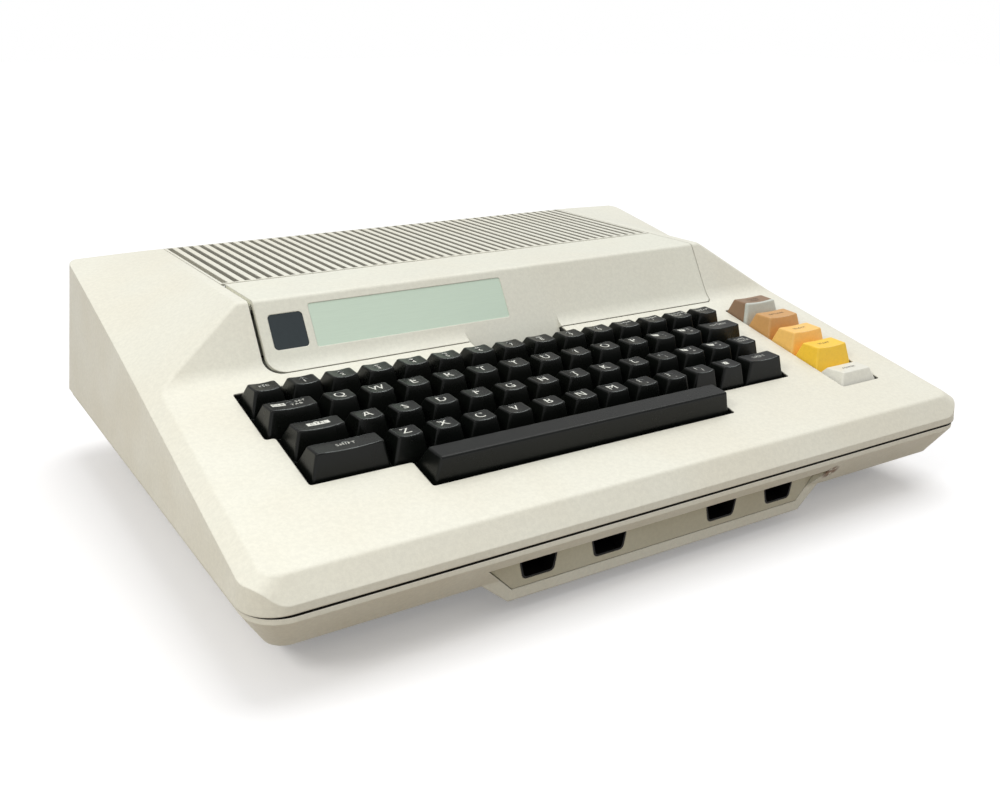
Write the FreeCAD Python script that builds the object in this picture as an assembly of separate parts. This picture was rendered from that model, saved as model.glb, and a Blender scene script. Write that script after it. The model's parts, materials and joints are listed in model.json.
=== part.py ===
import FreeCAD, Part
import math
import os

os.makedirs("parts", exist_ok=True)

# Whole case
case_width = 411.2
case_depth = 310.4
case_height = 114.0
wall = 3.0
wall_lean_share = 0.12
parting_height = 38.4
band_height = 3.6
groove_height = 1.0
groove_depth = 1.5
groove_side_depth = 0.5
corner_radius = 16.5
rear_corner_radius = 8.0

# Front bevel, keyboard deck and slope
bevel_depth = 7.0
bevel_rise_share = 0.14028
deck_depth = 137.0
deck_rise_share = 0.2232
slope_run = 18.4
edge_radius = 3.0
bevel_corner_share = 0.9765
valley_radius = 14.0
rear_edge_radius = 4.0

# Cheeks beside the lid
cheek_half_share = 0.72228
cheek_drop = 4.6
cheek_rear_slope_share = 0.015
overrun = 30.0

# Lower case
rim_height = 3.5
rim_side_inset = 1.5
lip_height = 19.0
lip_front_inset = 11.0
lip_side_inset = 11.0
lip_rear_inset = 14.0
base_height = 6.0
base_front_inset = 32.0
base_side_inset = 20.0
base_rear_inset = 30.0
lip_corner_radius = 9.0
base_corner_radius = 7.0
lower_wall_share = 1.3

# Lid with its vents
lid_side_inset = 5.6
lid_gap = 0.4
lid_rear_margin = 3.2
vent_count = 46
vent_share = 0.5
vent_rear_margin = 0.85
vent_front_margin = 1.4
rib_count = 3
rib_depth = 9.0
rib_thickness = 2.0
ledge_width = 6.0
ledge_height = 2.5

# Cartridge door
door_top_depth = 39.6
door_left_gap = 2.3
door_right_gap = 0.5
door_foot_gap = 0.5
door_lip = 2.0
door_left_radius = 9.0
door_right_radius = 3.0
door_reach = 6.0
hinge_radius = 1.6
hinge_gap = 0.35
pin_radius = 0.8
pin_clearance = 0.05
pin_reach = 6.0
pin_bearing = 5.0
boss_half_depth = 4.0
notch_half_width = 30.0
notch_gap = 0.4
notch_depth = 9.0
notch_wall = 2.0
stop_half_share = 0.6323
stop_thickness = 2.0
stop_reach = 5.0
stop_gap = 0.3

# Badge and nameplate on the door
badge_size_share = 0.501
badge_left_share = 0.65759
badge_drop_share = 0.2258
badge_radius = 2.2
plate_left_share = 0.55058
plate_width_share = 0.55058
plate_length_share = 0.6222
plate_drop_share = 0.1377
plate_radius = 1.2
inlay_depth = 0.9
inlay_thickness = 0.6

# Keyboard
key_pitch_share = 0.046328
keyboard_left_share = 0.79013
keyboard_front = 48.7
keyboard_margin = 1.5
opening_radius = 1.5
row_shifts_share = [0.25, 0.25, 0.0, 0.0]
row_widths_share = [14.5, 14.5, 15.0, 15.0]
row_top_heights = [10.8, 10.5, 10.6, 10.0]
space_left_share = 2.76
space_width_share = 8.96
space_top_height = 10.7
space_back_drop = 1.6
space_crown_radius = 1.2
space_front_inset = 2.6
space_back_inset = 5.0
space_stem_share = 3.46457
key_gap = 0.75
key_sink = 2.6
key_back_drop = 2.0
key_side_slope_share = 0.23
key_front_inset = 4.2
key_back_inset = 5.0
key_wall = 1.4
key_edge_radius = 1.3
key_crown_radius = 0.9
dish_depth = 0.6
stem_radius = 1.9
stem_clearance = 0.08
stem_bite = 2.2
switch_size_share = 0.6929
switch_top = 6.6
switch_floor = 1.0
plate_top = 10.0
key_plate_thickness = 1.5
plate_hole_gap = 0.1
board_gap = 3.5
board_thickness = 1.6
plate_left_inset = 30.6
plate_right_inset = 31.6
plate_front_edge = 11.0
plate_rear_edge = 127.0
board_margin = 4.0
hanger_radius = 4.0
hanger_left_inset = 4.0
hanger_middle_share = 0.09728
hanger_right_share = 0.63716
hanger_front = 18.0
hanger_near = 52.0
hanger_far = 113.0
hanger_screw_radius = 1.4
hanger_screw_bite = 6.0
screw_head_radius = 2.8
screw_head_height = 2.0

# Console keys
console_left_share = 0.69066
console_width_share = 1.5381
console_front = 27.7
console_pitch_share = 1.011
console_top_height = 10.1
console_front_inset = 6.0
console_back_inset = 1.8
console_back_drop = 2.2
console_side_slope_share = 0.25
console_crown_radius = 1.2
lamp_side_slope_share = 0.5
lamp_top_height = 5.0
lamp_back_drop = 2.4
lamp_back_inset = 3.0
lamp_front_inset = 5.4
lamp_sink = 10.0
reset_face_thickness = 2.2

# Port panel and controller ports
bulge_top_half = 102.5
bulge_shoulder_height = 19.5
bulge_foot_half = 88.6
bulge_foot_height = 7.6
bulge_depth = 30.0
panel_foot_height = 12.8
panel_foot_half = 86.6
panel_top_half = 102.5
panel_top_height = 29.2
panel_thickness = 2.5
panel_gap = 0.25
panel_ledge = 2.0
port_inner_spacing = 34.2
port_outer_spacing = 72.8
port_width = 20.6
port_height = 10.4
port_side_share = 0.2
port_centre_height = 21.4
port_shell = 0.9
port_depth = 18.0
port_back = 4.0
port_corner_radius = 2.6
port_pin_radius = 0.5
port_pin_length = 6.0
port_pin_pitch = 2.77
port_upper_pins = 5
port_lower_pins = 4
port_flange = 1.3

# Sockets and switches of the right side
side_front = 54.0
side_length = 124.0
side_foot_height = 9.0
side_top_height = 32.5
side_depth = 16.0
side_centre_height = 22.0
peripheral_position = 25.0
peripheral_length = 40.0
peripheral_height = 12.0
peripheral_depth = 14.0
peripheral_shell = 1.6
peripheral_pin_count = 7
peripheral_pin_pitch = 4.4
peripheral_pin_rise = 2.0
peripheral_pin_radius = 0.6
peripheral_pin_length = 5.0
monitor_position = 60.0
monitor_radius = 8.4
monitor_bore_radius = 6.9
monitor_bore_depth = 7.0
monitor_depth = 14.0
channel_position = 80.0
channel_slot = 9.0
channel_slot_height = 4.0
channel_travel = 4.0
power_position = 98.0
power_slot = 12.0
power_slot_height = 5.5
power_travel = 5.5
lever_reach = 3.0
lever_foot = 2.0
lever_clearance = 0.2
switch_body_depth = 9.0
switch_margin = 3.0
jack_position = 115.0
jack_radius = 4.6
jack_bore_radius = 3.1
jack_depth = 12.0
jack_bore_depth = 9.0
jack_pin_radius = 1.0
collar = 1.6
collar_thickness = 1.5

# Boards and modules
main_board_height = 17.0
main_board_half_share = 0.52529
main_board_front = 192.0
main_board_rear_margin = 26.4
board_post_inset = 6.0
module_count = 4
module_half_share = 0.35019
module_gap = 3.0
module_front = 208.0
module_drop = 16.0
socket_height = 10.0
socket_inset = 8.0
socket_thickness_share = 0.5625
shield_half_share = 0.40856
shield_drop = 26.0
shield_gap = 6.0
shield_thickness = 2.5
processor_board_share = 0.46693
processor_board_height = 62.0
chip_length_share = 0.543
chip_width = 14.0
chip_height = 4.0
chip_gap = 8.0
chip_start_share = 0.114
power_board_inset = 35.6
power_board_width_share = 0.26265
power_board_height = 14.0
power_board_rear_margin = 34.4
capacitor_radius_share = 0.131
capacitor_height = 36.0
heat_sink_width = 12.0
heat_sink_height = 40.0
heat_sink_fin = 1.6
heat_sink_fins = 8
speaker_radius = 28.0
speaker_height = 16.0
speaker_magnet_radius = 16.0
speaker_rim = 4.0
speaker_inset = 80.6
speaker_offset = 102.0
speaker_hole_radius = 1.6
post_radius = 4.5

# Cartridge well under the door
well_half_share = 0.50584
well_wall = 2.0
well_front = 153.2
well_length = 44.0
well_floor_height = 52.0
well_gap = 1.0
slot_spacing_share = 0.24319
slot_length_share = 0.32101
slot_thickness = 12.0
slot_block_height = 14.0
slot_groove = 3.0
slot_groove_depth = 9.0
slot_groove_margin = 4.0

# Lid latches and the door interlock
latch_inset = 24.5
latch_setback = 30.8
latch_shelf_drop = 16.0
latch_shelf_thickness = 2.5
latch_shelf_half = 7.0
latch_web = 2.9
latch_shaft_radius = 3.0
latch_clearance = 0.08
latch_gap = 0.3
latch_thickness = 2.5
latch_half_width = 5.0
latch_tongue = 16.0
latch_tab_height = 4.0
latch_tab_thickness = 2.0
lug_half_width = 6.0
lug_web = 2.0
lug_reach = 4.0
interlock_share = 0.57393
interlock_setback = 10.0
interlock_radius = 2.0
interlock_half = 6.0
interlock_drop = 32.0
interlock_depth = 16.0
interlock_foot = 4.0
interlock_clearance = 0.08
interlock_gap = 0.3

# Fasteners, feet and lead gland
screw_side_inset = 25.6
screw_offset_shares = [0.1353, 0.6089, 0.8602]
screw_post_radius = 4.6
screw_radius = 1.75
screw_hole_clearance = 0.08
screw_bite = 12.0
screw_sink = 3.0
case_screw_head_radius = 3.2
screw_slot = 0.8
foot_radius = 8.0
foot_seat = 1.0
foot_edge_radius = 1.0
foot_side_inset = 55.6
foot_front = 58.0
foot_rear_margin = 50.4
gland_x = 60.0
gland_radius = 5.5
gland_clearance = 0.05
gland_nut_radius = 7.0
gland_nut_length = 2.0
gland_reach = 3.0
gland_bore_radius = 2.4
gland_length = 16.0
gland_height = 26.5

half_width = case_width / 2
front = -case_depth / 2
rear = case_depth / 2
deck_front = front + bevel_depth
bevel_foot = parting_height + band_height
bevel_rise = (case_height - bevel_foot) * bevel_rise_share
bevel_corner_radius = math.hypot(bevel_depth, bevel_rise) * bevel_corner_share
deck_front_height = bevel_foot + bevel_rise
deck_angle = math.degrees(math.atan(deck_rise_share))
deck_foot = deck_front + deck_depth
deck_foot_height = deck_front_height + deck_depth * deck_rise_share
deck_length = math.hypot(deck_depth, deck_depth * deck_rise_share)
crease = deck_foot + slope_run
slope_rise = case_height - deck_foot_height
slope_angle = math.degrees(math.atan2(slope_rise, slope_run))
slope_length = math.hypot(slope_rise, slope_run)
valley_angle = math.radians(slope_angle - deck_angle)
tiny = wall / 100
roof = case_height - wall
cheek_half_width = half_width * cheek_half_share
lid_half_width = cheek_half_width - lid_side_inset
badge_size = slope_length * badge_size_share
badge_drop = slope_length * badge_drop_share
badge_left = -half_width * badge_left_share
plate_length = slope_length * plate_length_share
plate_drop = slope_length * plate_drop_share
plate_left = -half_width * plate_left_share
plate_width = half_width * plate_width_share
stop_half_width = half_width * stop_half_share
key_pitch = case_width * key_pitch_share
keyboard_left = -half_width * keyboard_left_share
console_left = half_width * console_left_share
console_width = key_pitch * console_width_share
console_pitch = key_pitch * console_pitch_share
switch_size = key_pitch * switch_size_share
latch_x = cheek_half_width - latch_inset
latch_shelf_height = case_height - latch_shelf_drop
screw_x = half_width - screw_side_inset
screw_offsets = [case_depth * share for share in screw_offset_shares]


def point(x, y, z):
    return FreeCAD.Vector(x, y, z)


def box(x0, x1, y0, y1, z0, z1):
    return Part.makeBox(x1 - x0, y1 - y0, z1 - z0, point(x0, y0, z0))


def rod(radius, start, run):
    """A round bar from one point along a vector."""
    return Part.makeCylinder(radius, run.Length, start, run)


def joined(shapes):
    """Fuses shapes into one clean solid."""
    whole = shapes[0]
    if len(shapes) > 1:
        whole = whole.fuse(shapes[1:])
    return whole.removeSplitter()


def rounded_wire(corners, radii):
    """Joins corner points with lines, each corner turned on its own radius."""
    starts = []
    ends = []
    middles = []
    count = len(corners)
    for index, corner in enumerate(corners):
        radius = radii[index]
        if radius == 0:
            starts.append(corner)
            ends.append(corner)
            middles.append(None)
            continue
        before = (corners[index - 1] - corner).normalize()
        after = (corners[(index + 1) % count] - corner).normalize()
        half_angle = before.getAngle(after) / 2
        reach = radius / math.tan(half_angle)
        inward = (before + after).normalize()
        starts.append(corner + before * reach)
        ends.append(corner + after * reach)
        middles.append(corner + inward * (radius / math.sin(half_angle) - radius))
    edges = []
    for index in range(count):
        if middles[index] is not None:
            edges.append(Part.Arc(starts[index], middles[index], ends[index]).toShape())
        following = starts[(index + 1) % count]
        edges.append(Part.makeLine(ends[index], following))
    return Part.Wire(edges)


def side_prism(outline, radii, x0, x1):
    corners = [point(x0, y, z) for y, z in outline]
    return Part.Face(rounded_wire(corners, radii)).extrude(point(x1 - x0, 0, 0))


def front_prism(outline, radii, y0, y1):
    corners = [point(x, y0, z) for x, z in outline]
    return Part.Face(rounded_wire(corners, radii)).extrude(point(0, y1 - y0, 0))


def plan_prism(outline, radii, z0, z1):
    corners = [point(x, y, z0) for x, y in outline]
    return Part.Face(rounded_wire(corners, radii)).extrude(point(0, 0, z1 - z0))


def plate(x0, x1, y0, y1, z0, z1, radius):
    """A flat plate with four equal round corners."""
    return plan_prism([(x0, y0), (x0, y1), (x1, y1), (x1, y0)], [radius] * 4, z0, z1)


def plain(outline):
    return [0] * len(outline)


def mirrored(shape):
    return shape.mirror(point(0, 0, 0), point(1, 0, 0))


def inset_outline(outline, distance):
    """Moves every side of a clockwise outline inwards by one distance."""
    lines = []
    count = len(outline)
    for index in range(count):
        ax, ay = outline[index]
        bx, by = outline[(index + 1) % count]
        length = math.hypot(bx - ax, by - ay)
        dx, dy = (bx - ax) / length, (by - ay) / length
        lines.append((ax + dy * distance, ay - dx * distance, dx, dy))
    moved = []
    for index in range(count):
        ax, ay, adx, ady = lines[index - 1]
        bx, by, bdx, bdy = lines[index]
        cross = adx * bdy - ady * bdx
        along = ((bx - ax) * bdy - (by - ay) * bdx) / cross
        moved.append((ax + adx * along, ay + ady * along))
    return moved


def plan_wire(x_half, y0, y1, front_radius, back_radius, z):
    corners = [point(-x_half, y0, z), point(-x_half, y1, z), point(x_half, y1, z), point(x_half, y0, z)]
    return rounded_wire(corners, [front_radius, back_radius, back_radius, front_radius])


def lean(z):
    return (z - parting_height) * wall_lean_share


def placed(shape, frame):
    moved = shape.copy()
    moved.Placement = frame.multiply(shape.Placement)
    return moved


def save(name, shapes):
    shape = shapes[0] if len(shapes) == 1 else Part.makeCompound(shapes)
    shape.exportStep("parts/" + name + ".step")


deck_frame = FreeCAD.Placement(
    point(0, deck_front, deck_front_height), FreeCAD.Rotation(point(1, 0, 0), deck_angle)
)
slope_frame = FreeCAD.Placement(
    point(0, crease, case_height), FreeCAD.Rotation(point(1, 0, 0), slope_angle)
)


def on_deck(shape):
    """Moves a shape from deck coordinates, across, up the deck and out of it, to the case."""
    return placed(shape, deck_frame)


def on_slope(shape):
    """Moves a shape from slope coordinates, whose origin is the crease, to the case."""
    return placed(shape, slope_frame)


# Outer and inner forms of the upper case
def upper_outline():
    """Side outline of the upper case, with the bevel run out past the front wall."""
    run_foot = parting_height / 2
    run_out = (bevel_foot - run_foot) * bevel_depth / bevel_rise
    return [
        (front - run_out, 0),
        (front - run_out, run_foot),
        (deck_front, deck_front_height),
        (deck_foot, deck_foot_height),
        (crease, case_height),
        (rear, case_height),
        (rear, 0),
    ]


def cheek_edge(y):
    """Height of the side wall's top edge at one depth, and how far outside the crown it stands."""
    height = deck_front_height - cheek_drop + (y - deck_front) * deck_rise_share
    return height, half_width - lean(height) - cheek_half_width


def cheek_section(side, inset, y, crown, slope_share):
    """Cross-section of what lies above the cheek surface at one depth."""
    sunk = crown - inset * math.hypot(1, slope_share)
    inner_x = cheek_half_width - overrun
    outer_x = half_width + overrun
    top = case_height + overrun * 2
    return [
        point(side * inner_x, y, sunk + slope_share * overrun),
        point(side * outer_x, y, sunk - slope_share * (outer_x - cheek_half_width)),
        point(side * outer_x, y, top),
        point(side * inner_x, y, top),
    ]


def between(first, second):
    """Closes a solid between two like outlines, with flat faces wherever the corners allow."""
    faces = [Part.Face(Part.makePolygon(ring + ring[:1])) for ring in (first, second)]
    count = len(first)
    for index in range(count):
        following = (index + 1) % count
        corners = [first[index], first[following], second[following], second[index]]
        across = (corners[1] - corners[0]).cross(corners[3] - corners[0]).normalize()
        if abs(across.dot(corners[2] - corners[0])) < tiny:
            faces.append(Part.Face(Part.makePolygon(corners + corners[:1])))
        else:
            faces.append(Part.makeRuledSurface(
                Part.makeLine(corners[0], corners[1]), Part.makeLine(corners[3], corners[2])
            ))
    shell = Part.makeShell(faces)
    shell.sewShape()
    solid = Part.makeSolid(shell)
    return solid if solid.Volume > 0 else solid.reversed()


def cheek_cutters(side, inset):
    """Takes the flat and then the twisted cheek surface off one side of the upper case."""
    crease_edge, crease_run = cheek_edge(crease)
    share = (case_height - crease_edge) / crease_run
    start_y = front - overrun * 2
    start_edge, start_run = cheek_edge(start_y)
    start = cheek_section(side, inset, start_y, start_edge + start_run * share, share)
    middle = cheek_section(side, inset, crease, case_height, share)
    end = cheek_section(side, inset, rear + rear_edge_radius, case_height, cheek_rear_slope_share)
    return [between(start, middle), between(middle, end)]


def walls(inset, bottom):
    """Everything within the leaning side walls of the upper case."""
    wires = []
    for z in (bottom, case_height + rear_edge_radius):
        wires.append(plan_wire(
            half_width - lean(z) - inset, front + inset, rear - inset,
            corner_radius - inset, rear_corner_radius - inset, z,
        ))
    return Part.makeLoft(wires, True, True)


def soft_edges(form):
    """The raised edges of the upper surfaces, from the deck's front round to the crease."""
    found = []
    for edge in form.Edges:
        middle = edge.CenterOfMass
        deck = deck_front_height + (middle.y - deck_front) * deck_rise_share
        beside = abs(middle.x) > cheek_half_width
        on_front = abs(middle.y - deck_front) < tiny and abs(middle.z - deck_front_height) < tiny
        on_crease = abs(middle.y - crease) < tiny and abs(middle.z - case_height) < tiny
        on_side = beside and deck_front < middle.y < deck_foot and abs(middle.z - deck) < edge_radius
        at_front = abs(middle.y - deck_front) < bevel_corner_radius
        on_corner = beside and at_front and abs(middle.z - deck) < wall
        on_ridge = beside and deck_foot < middle.y < crease - edge_radius and middle.z > deck
        if on_front or on_crease or on_side or on_corner or on_ridge:
            found.append(edge)
    return found


def upper_form(inset):
    """The upper case's outside, or the same form taken inwards by a wall."""
    outline = upper_outline()
    radii = [0, 0, 0, valley_radius, 0, max(rear_edge_radius - inset, 0), 0]
    reach = half_width + overrun
    if inset > 0:
        outline = inset_outline(outline, inset)
        radii[3] = valley_radius + inset
    form = side_prism(outline, radii, -reach, reach)
    for side in (-1, 1):
        for cutter in cheek_cutters(side, inset):
            form = form.cut(cutter)
    if inset > 0:
        return form.common(walls(inset, parting_height - wall))
    corners = []
    for edge in form.Edges:
        middle = edge.CenterOfMass
        across = cheek_half_width < abs(middle.x) < reach - tiny
        if across and middle.y < deck_front and middle.z > parting_height / 2:
            corners.append(edge)
    form = form.makeFillet(bevel_corner_radius, corners)
    form = form.makeFillet(edge_radius, soft_edges(form))
    return form.common(walls(0, parting_height)).Solids[0]


outer_form = upper_form(0)
inner_form = upper_form(wall)
skin = outer_form.cut(inner_form)


# Cartridge door, one piece with the strip on top of the case
hinge_y = crease + door_top_depth
hinge_z = case_height - hinge_radius
door_left = -lid_half_width + door_left_gap
door_right = lid_half_width - door_right_gap
door_foot = -slope_length - door_lip
tongue_foot = -slope_length - notch_depth / math.sin(valley_angle)
knuckle_gap = hinge_radius + hinge_gap
lid_front = hinge_y + knuckle_gap
lid_rear = rear - lid_rear_margin


def door_region(left, right, foot, left_radius, right_radius, back):
    """What lies between two sides, from the foot of the slope up over the crease and back."""
    head = door_reach
    outline = [(left, foot), (left, head), (right, head), (right, foot)]
    slope = on_slope(plan_prism(outline, [left_radius, 0, 0, right_radius], -overrun / 2, door_reach))
    return slope.fuse(box(left, right, crease - wall, back, roof - wall, case_height + wall))


def notch_cutter():
    """The finger notch in front of the door: all that stands before the slope's plane."""
    corner = deck_frame.inverse().multVec(slope_frame.multVec(point(0, tongue_foot, 0)))
    top = deck_frame.inverse().multVec(slope_frame.multVec(point(0, -slope_length + valley_radius, 0)))
    opening_rear = keyboard_front + key_pitch * len(row_top_heights)
    outline = [(opening_rear, corner.z), (opening_rear, top.z), (top.y, top.z), (corner.y, corner.z)]
    return on_deck(side_prism(outline, plain(outline), -notch_half_width, notch_half_width))


def inlay(left, drop, width, length, thickness, radius):
    """A plate let into the slope, its back at the inlay's depth."""
    high = thickness - inlay_depth
    return on_slope(plate(left, left + width, -drop - length, -drop, -inlay_depth, high, radius))


door_shape = skin.common(door_region(
    door_left, door_right, door_foot, door_left_radius, door_right_radius, hinge_y
))
knuckle = rod(hinge_radius, point(door_left, hinge_y, hinge_z), point(door_right - door_left, 0, 0))
tongue_half = notch_half_width - notch_gap
tongue = on_slope(box(-tongue_half, tongue_half, tongue_foot, -slope_length + wall, -wall, 0))
door_shape = door_shape.cut(notch_cutter())
door_shape = joined([door_shape, knuckle, tongue])
for end, inward in ((door_left, 1), (door_right, -1)):
    start = point(end - inward * tiny, hinge_y, hinge_z)
    bore = rod(pin_radius + pin_clearance, start, point(inward * (pin_reach + hinge_gap), 0, 0))
    door_shape = door_shape.cut(bore)
badge_hole = inlay(badge_left, badge_drop, badge_size, badge_size, inlay_depth * 2, badge_radius)
name_hole = inlay(plate_left, plate_drop, plate_width, plate_length, inlay_depth * 2, plate_radius)
save("cartridge_door", [door_shape.cut([badge_hole, name_hole])])
save("badge_plate", [inlay(
    badge_left, badge_drop, badge_size, badge_size, inlay_thickness, badge_radius
)])
save("name_plate", [inlay(
    plate_left, plate_drop, plate_width, plate_length, inlay_thickness, plate_radius
)])
pins = []
for side, edge, gap in ((-1, -lid_half_width, door_left_gap), (1, lid_half_width, door_right_gap)):
    start = point(edge + side * pin_bearing, hinge_y, hinge_z)
    pins.append(rod(pin_radius, start, point(-side * (pin_bearing + gap + pin_reach), 0, 0)))
save("door_hinge_pins", pins)


# Lid with its vents, ribs and latch lugs
lid_half = lid_half_width - lid_gap
lid = skin.common(box(-lid_half, lid_half, lid_front, lid_rear, roof, case_height + wall))
lid = lid.cut(rod(knuckle_gap, point(-lid_half_width, hinge_y, hinge_z), point(lid_half_width * 2, 0, 0)))
vent_pitch = lid_half * 2 / vent_count
vent_front = lid_front + vent_front_margin
vent_length = lid_rear - vent_rear_margin - vent_front
rib_span = vent_length / (rib_count + 1)
rib_half = lid_half_width - ledge_width - lid_gap
ribs = []
for index in range(rib_count):
    y = vent_front + rib_span * (index + 1) - rib_thickness / 2
    ribs.append(box(-rib_half, rib_half, y, y + rib_thickness, roof - rib_depth, roof))
latch_y = crease + latch_setback
lug_floor = latch_shelf_height + latch_shelf_thickness
for side in (-1, 1):
    x0 = side * latch_x - lug_half_width
    x1 = side * latch_x + lug_half_width
    lug_y = latch_y + latch_tongue
    ribs.append(box(x0, x1, lug_y, lug_y + lug_web, latch_shelf_height, roof))
    ribs.append(box(x0, x1, lug_y - lug_reach, lug_y, latch_shelf_height, lug_floor))
vents = []
for index in range(vent_count):
    x = -lid_half + vent_pitch * (index + (1 - vent_share) / 2)
    vents.append(box(
        x, x + vent_pitch * vent_share, vent_front, vent_front + vent_length,
        roof - tiny, case_height + tiny,
    ))
lid = lid.cut(vents)
save("vent_lid", [joined([lid] + ribs)])


# Lid latches: a lever on a shaft whose tongue lies over the lug of the lid
def latch(side):
    lever_floor = lug_floor + latch_gap
    lever_top = lever_floor + latch_thickness
    x = side * latch_x
    foot = point(x, latch_y, latch_shelf_height)
    shaft = rod(latch_shaft_radius, foot, point(0, 0, lever_floor - latch_shelf_height))
    half = latch_half_width
    tip = latch_y + latch_tongue - latch_gap * 3
    lever = plate(x - half, x + half, latch_y - half, tip, lever_floor, lever_top, half / 2)
    grip = latch_tab_thickness / 2
    tab_top = lever_top + latch_tab_height
    tab = box(x - grip, x + grip, latch_y - half / 2, latch_y + half, lever_top, tab_top)
    return joined([shaft, lever, tab])


save("lid_latch_left", [latch(-1)])
save("lid_latch_right", [latch(1)])


# Keyboard layout
opening_front = keyboard_front - keyboard_margin
keyboard_rear = keyboard_front + key_pitch * len(row_top_heights)
opening_rear = keyboard_rear + keyboard_margin
row_step = keyboard_front + key_pitch * 2 - keyboard_margin
near_left = keyboard_left + key_pitch * row_shifts_share[0] - keyboard_margin
near_right = near_left + key_pitch * row_widths_share[0] + keyboard_margin * 2
far_left = keyboard_left - keyboard_margin
far_right = far_left + key_pitch * row_widths_share[-1] + keyboard_margin * 2
space_left = keyboard_left + key_pitch * space_left_share
space_right = space_left + key_pitch * space_width_share
space_front = keyboard_front - key_pitch
keyboard_outline = [
    (near_left, opening_front),
    (near_left, row_step),
    (far_left, row_step),
    (far_left, opening_rear),
    (far_right, opening_rear),
    (far_right, row_step),
    (near_right, row_step),
    (near_right, opening_front),
    (space_right + keyboard_margin, opening_front),
    (space_right + keyboard_margin, space_front - keyboard_margin),
    (space_left - keyboard_margin, space_front - keyboard_margin),
    (space_left - keyboard_margin, opening_front),
]
console_right = console_left + console_width
console_rear = console_front + console_pitch * (1 + len(row_top_heights))
deck_low = -wall - edge_radius


def deck_opening(outline):
    return on_deck(plan_prism(outline, [opening_radius] * len(outline), deck_low, valley_radius / 2))


keyboard_opening = deck_opening(keyboard_outline)
console_opening = deck_opening([
    (console_left, console_front), (console_left, console_rear),
    (console_right, console_rear), (console_right, console_front),
])

# Top case
plate_left_edge = plate_left_inset - half_width
plate_right_edge = half_width - plate_right_inset
hanger_left_x = plate_left_edge + hanger_left_inset
hanger_middle_x = -half_width * hanger_middle_share
hanger_right_x = half_width * hanger_right_share
hangers = [
    (hanger_left_x, hanger_near), (hanger_left_x, hanger_far), (hanger_right_x, hanger_near),
    (hanger_right_x, hanger_far), (hanger_middle_x, hanger_front),
]
door_opening = door_region(
    -lid_half_width, lid_half_width, door_foot - door_foot_gap, door_left_radius, door_right_radius,
    lid_rear + lid_gap,
)
tongue_slot = on_slope(box(
    -notch_half_width, notch_half_width, tongue_foot - notch_gap, -slope_length, -wall - notch_gap, tiny
))
top_case = skin.cut([door_opening, keyboard_opening, console_opening, notch_cutter(), tongue_slot])


def lid_ledge(side):
    """The ledge under one edge of the lid and door, with the shelf that carries a latch."""
    inner = lid_half_width - ledge_width
    outer = cheek_half_width - wall
    floor = roof - ledge_height
    rail = box(inner, outer, crease + wall, lid_rear, floor, roof)
    shelf_top = latch_shelf_height + latch_shelf_thickness
    near = latch_y - latch_shelf_half
    far = latch_y + latch_shelf_half
    shelf = box(latch_x - latch_shelf_half, outer, near, far, latch_shelf_height, shelf_top)
    web = box(outer - latch_web, outer, near, far, shelf_top, roof)
    boss = box(
        lid_half_width, cheek_half_width, hinge_y - boss_half_depth, hinge_y + boss_half_depth,
        floor, roof + tiny,
    )
    hole_foot = point(latch_x, latch_y, latch_shelf_height)
    hole = rod(latch_shaft_radius + latch_clearance, hole_foot, point(0, 0, wall))
    ledge = joined([rail, shelf, web, boss]).cut(hole)
    return ledge if side > 0 else mirrored(ledge)


notch_outer = notch_half_width + notch_wall
additions = [lid_ledge(-1), lid_ledge(1)]
additions.append(box(
    -lid_half_width, lid_half_width, lid_rear - ledge_width, rear - wall + tiny, roof - ledge_height, roof
))
for side in (-1, 1):
    cheek = box(
        notch_half_width, notch_outer, keyboard_rear + key_sink, deck_length - wall,
        -notch_depth, -wall + tiny,
    )
    additions.append(on_deck(cheek if side > 0 else mirrored(cheek)))
    inner = notch_outer + notch_gap
    stop = box(
        inner, stop_half_width, keyboard_rear + key_sink, deck_length - stop_reach,
        -wall - stop_thickness, -wall + tiny,
    )
    lip = box(
        inner, stop_half_width, deck_length - stop_reach, deck_length - stop_gap,
        -wall - stop_thickness, -wall - stop_gap,
    )
    for piece in (stop, lip):
        additions.append(on_deck(piece if side > 0 else mirrored(piece)))
for x, v in hangers:
    hanger = rod(hanger_radius, point(x, v, -plate_top), point(0, 0, plate_top - wall + tiny))
    additions.append(on_deck(hanger))
for offset in screw_offsets:
    for side in (-1, 1):
        foot = point(side * screw_x, front + offset, parting_height)
        additions.append(rod(screw_post_radius, foot, point(0, 0, case_height)).common(outer_form))
top_case = joined([top_case] + additions)
screw_gap = screw_radius + screw_hole_clearance
drilled = [rod(knuckle_gap, point(-lid_half_width, hinge_y, hinge_z), point(lid_half_width * 2, 0, 0))]
for offset in screw_offsets:
    for side in (-1, 1):
        foot = point(side * screw_x, front + offset, parting_height - tiny)
        drilled.append(rod(screw_gap, foot, point(0, 0, screw_bite + screw_gap)))
for x, v in hangers:
    drilled.append(on_deck(rod(
        hanger_screw_radius, point(x, v, -plate_top - tiny), point(0, 0, hanger_screw_bite)
    )))
for side in (-1, 1):
    start = point(side * (lid_half_width - tiny), hinge_y, hinge_z)
    drilled.append(rod(pin_radius, start, point(side * (pin_bearing + tiny), 0, 0)))
save("top_case", [top_case.cut(drilled)])


# Key caps
def cap_block(width, depth, top, drop, front_inset, back_inset, lean_share, inset):
    """A key cap's plain block, its sides leaning in, taken inwards by the wall."""
    edge = key_gap / 2 + inset
    height = top - inset
    side_lean = lean_share * (height + key_sink)
    profile = [
        (edge, -key_sink), (front_inset + inset, height),
        (depth - back_inset - inset, height - drop), (depth - edge, -key_sink),
    ]
    section = [
        (edge, -key_sink), (edge + side_lean, height),
        (width - edge - side_lean, height), (width - edge, -key_sink),
    ]
    along = side_prism(profile, plain(profile), 0, width)
    across = front_prism(section, plain(section), 0, depth)
    return along.common(across)


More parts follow.
